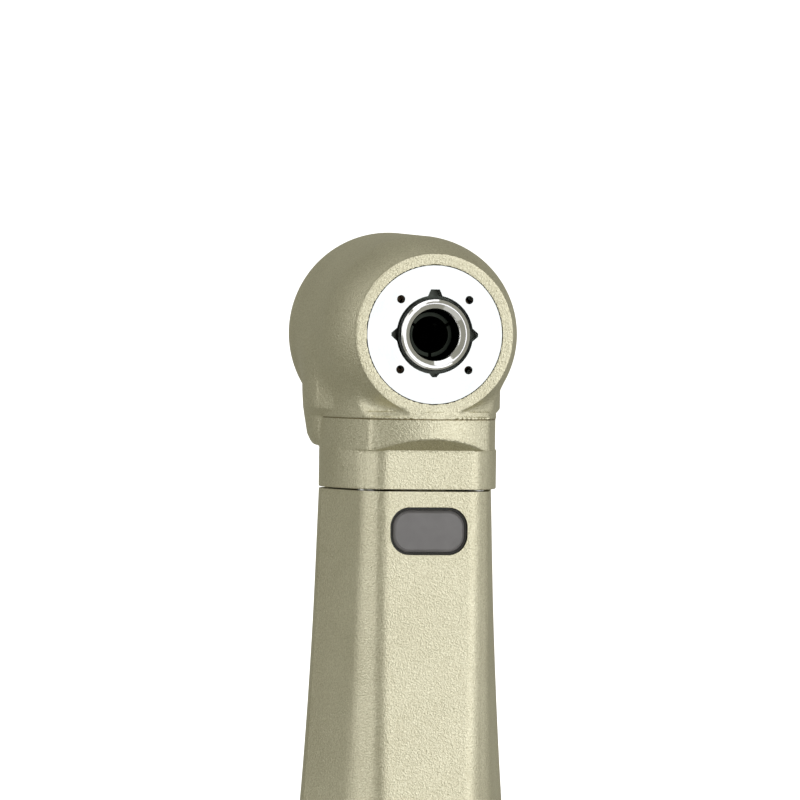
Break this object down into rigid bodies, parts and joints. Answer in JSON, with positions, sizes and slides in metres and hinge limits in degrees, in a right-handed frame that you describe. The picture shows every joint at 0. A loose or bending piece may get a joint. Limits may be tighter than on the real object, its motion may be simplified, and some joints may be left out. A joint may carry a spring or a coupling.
{
  "type": "high speed handpiece",
  "caption": "Angled dental handpiece with a push-button chuck head, spray face plate, light window, geared drive shafts and a rear motor socket.",
  "frame": {"origin": "centre of the rear face, on the axis of the motor socket", "axes": "+Z along the handle from the rear face towards the bend, the bur side faces -Y, +X to the right seen from the bur side"},
  "size_m": [0.0192, 0.03, 0.0971],
  "materials": {
    "champagne_metal": "satin bead-blasted champagne-gold coating",
    "champagne_polished": "satin turned champagne-gold",
    "plate_steel": "finely brushed silver-white",
    "chrome": "mirror polished",
    "steel": "fine ground",
    "hard_steel": "ground and hardened",
    "gear_steel": "cut and lapped",
    "spring_steel": "drawn wire",
    "ball": "polished",
    "cage": "moulded phenolic",
    "tube_steel": "drawn",
    "window_glass": "smooth, smoked grey",
    "gasket": "matte black",
    "seal": "matte black",
    "rod_glass": "clear fused glass",
    "red_ring": "glossy red"
  },
  "bodies": {
    "body": {"head_housing": "champagne_metal", "head_cap": "champagne_polished", "preload_washer": "spring_steel", "face_plate": "plate_steel", "bearing_nut": "steel", "joint_seal": "seal", "handle_shell": "champagne_metal", "light_window": "window_glass", "window_gasket": "gasket", "light_rod": "rod_glass", "water_tube": "tube_steel", "air_tube": "tube_steel", "shaft_carrier": "steel", "coupling_sleeve": "steel", "snap_ring": "spring_steel", "coupling_seals": "seal", "colour_ring": "red_ring", "end_ring": "steel", "head_front_bearing_outer_ring": "hard_steel", "head_back_bearing_outer_ring": "hard_steel", "neck_front_bearing_outer_ring": "hard_steel", "neck_rear_bearing_outer_ring": "hard_steel", "shaft_front_bearing_outer_ring": "hard_steel", "shaft_rear_bearing_outer_ring": "hard_steel", "button_spring": "spring_steel"},
    "button": {"push_button": "champagne_polished", "button_pin": "hard_steel"},
    "spindle": {"spindle": "steel", "spindle_pinion": "gear_steel", "spindle_nut": "steel", "nose_ring": "chrome", "head_front_bearing_inner_ring": "hard_steel", "head_back_bearing_inner_ring": "hard_steel", "collet_spring": "spring_steel"},
    "collet": {"collet": "hard_steel"},
    "neck_drive": {"neck_shaft": "steel", "neck_gear": "gear_steel", "neck_pinion": "gear_steel", "neck_front_bearing_inner_ring": "hard_steel", "neck_rear_bearing_inner_ring": "hard_steel"},
    "handle_drive": {"rear_shaft": "steel", "ring_gear": "gear_steel", "dog_pin": "hard_steel", "shaft_front_bearing_inner_ring": "hard_steel", "shaft_rear_bearing_inner_ring": "hard_steel", "dog_spring": "spring_steel"},
    "dog": {"drive_dog": "hard_steel"},
    "head_front_bearing_ball_ring": {"head_front_bearing_balls": "ball", "head_front_bearing_cage": "cage"},
    "head_back_bearing_ball_ring": {"head_back_bearing_balls": "ball", "head_back_bearing_cage": "cage"},
    "neck_front_bearing_ball_ring": {"neck_front_bearing_balls": "ball", "neck_front_bearing_cage": "cage"},
    "neck_rear_bearing_ball_ring": {"neck_rear_bearing_balls": "ball", "neck_rear_bearing_cage": "cage"},
    "shaft_front_bearing_ball_ring": {"shaft_front_bearing_balls": "ball", "shaft_front_bearing_cage": "cage"},
    "shaft_rear_bearing_ball_ring": {"shaft_rear_bearing_balls": "ball", "shaft_rear_bearing_cage": "cage"}
  },
  "joints": [
    {"name": "handle_shaft_spin", "type": "hinge", "parent": "body", "child": "handle_drive", "pos_m": [0, 0, 0.04], "axis": [0, 0, 1], "continuous": true},
    {"name": "neck_shaft_spin", "type": "hinge", "parent": "body", "child": "neck_drive", "pos_m": [0, 0, 0.06], "axis": [0, 0.342, 0.9397], "continuous": true},
    {"name": "spindle_spin", "type": "hinge", "parent": "body", "child": "spindle", "pos_m": [0, 0.01163, 0.09195], "axis": [0, -0.9397, 0.342], "continuous": true},
    {"name": "button_press", "type": "slide", "parent": "body", "child": "button", "axis": [0, -0.9397, 0.342], "range_m": [0, 0.0008], "stiffness_N_per_m": 4000, "springref_m": -0.0012, "deforming": ["button_spring"]},
    {"name": "collet_release", "type": "slide", "parent": "spindle", "child": "collet", "axis": [0, -0.9397, 0.342], "range_m": [0, 0.0003], "deforming": ["collet_spring"]},
    {"name": "dog_slide", "type": "slide", "parent": "handle_drive", "child": "dog", "axis": [0, 0, 1], "range_m": [0, 0.0015], "stiffness_N_per_m": 1500, "springref_m": -0.001, "deforming": ["dog_spring"]},
    {"name": "head_front_bearing_roll", "type": "hinge", "parent": "body", "child": "head_front_bearing_ball_ring", "pos_m": [0, 0.01163, 0.09195], "axis": [0, -0.9397, 0.342], "continuous": true},
    {"name": "head_back_bearing_roll", "type": "hinge", "parent": "body", "child": "head_back_bearing_ball_ring", "pos_m": [0, 0.01163, 0.09195], "axis": [0, -0.9397, 0.342], "continuous": true},
    {"name": "neck_front_bearing_roll", "type": "hinge", "parent": "body", "child": "neck_front_bearing_ball_ring", "pos_m": [0, 0, 0.06], "axis": [0, 0.342, 0.9397], "continuous": true},
    {"name": "neck_rear_bearing_roll", "type": "hinge", "parent": "body", "child": "neck_rear_bearing_ball_ring", "pos_m": [0, 0, 0.06], "axis": [0, 0.342, 0.9397], "continuous": true},
    {"name": "shaft_front_bearing_roll", "type": "hinge", "parent": "body", "child": "shaft_front_bearing_ball_ring", "pos_m": [0, 0, 0.04], "axis": [0, 0, 1], "continuous": true},
    {"name": "shaft_rear_bearing_roll", "type": "hinge", "parent": "body", "child": "shaft_rear_bearing_ball_ring", "pos_m": [0, 0, 0.04], "axis": [0, 0, 1], "continuous": true}
  ],
  "couplings": [
    {"joint": "neck_shaft_spin", "follows": "handle_shaft_spin", "ratio": 2.7778},
    {"joint": "spindle_spin", "follows": "handle_shaft_spin", "ratio": 5},
    {"joint": "collet_release", "follows": "button_press", "ratio": 0.375},
    {"joint": "head_front_bearing_roll", "follows": "handle_shaft_spin", "ratio": 2.1512},
    {"joint": "head_back_bearing_roll", "follows": "handle_shaft_spin", "ratio": 2.1512},
    {"joint": "neck_front_bearing_roll", "follows": "handle_shaft_spin", "ratio": 1.104},
    {"joint": "neck_rear_bearing_roll", "follows": "handle_shaft_spin", "ratio": 1.104},
    {"joint": "shaft_front_bearing_roll", "follows": "handle_shaft_spin", "ratio": 0.38},
    {"joint": "shaft_rear_bearing_roll", "follows": "handle_shaft_spin", "ratio": 0.38}
  ]
}
